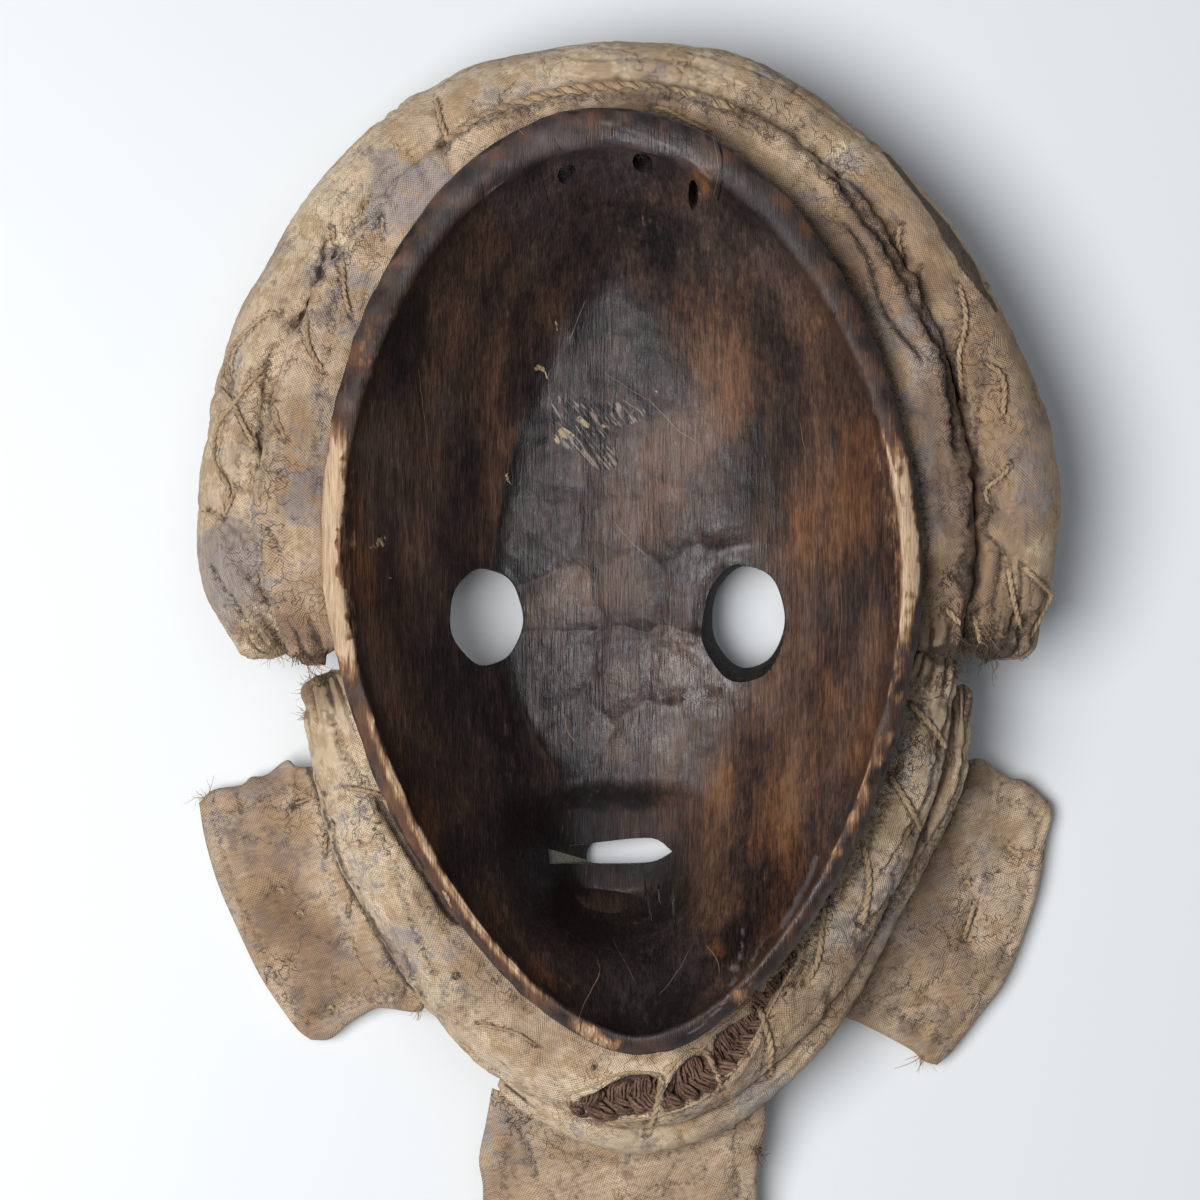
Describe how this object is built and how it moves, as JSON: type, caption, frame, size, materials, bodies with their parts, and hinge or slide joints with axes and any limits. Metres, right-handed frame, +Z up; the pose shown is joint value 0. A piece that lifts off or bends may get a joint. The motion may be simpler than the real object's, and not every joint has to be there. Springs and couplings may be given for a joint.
{
  "type": "dan mask",
  "caption": "Carved wooden face mask with round eye holes, a mouth slit and a stuffed cloth headdress with flaps, lying face down.",
  "frame": {"origin": "on the table, under the middle of the bounding box, with the mask lying on its face", "axes": "+Z up, the way the hollow opens; +Y along the face towards the crown; +X to the right as seen into the hollow"},
  "size_m": [0.2213, 0.3385, 0.0671],
  "materials": {
    "carved_wood": "dark brown hardwood, smoked and handled, satin inside, with the rim worn to pale bare wood",
    "stuffed_cloth": "plain-woven undyed cotton, stuffed, stitched over with cord, stained grey and brown and frayed at its ends",
    "plaited_fibre": "coarse plaited plant fibre, dark brown and dry",
    "twisted_cord": "two-strand twisted plant-fibre cord, pale brown"
  },
  "bodies": {
    "root": {"face_shell": "carved_wood", "crown_roll": "stuffed_cloth", "inner_crown_roll": "stuffed_cloth", "jaw_roll": "stuffed_cloth", "jaw_edge_roll": "stuffed_cloth", "plaited_core": "plaited_fibre", "crown_rope": "twisted_cord", "left_ear_flap": "stuffed_cloth", "right_ear_flap": "stuffed_cloth", "chin_flap": "stuffed_cloth"}
  },
  "joints": []
}
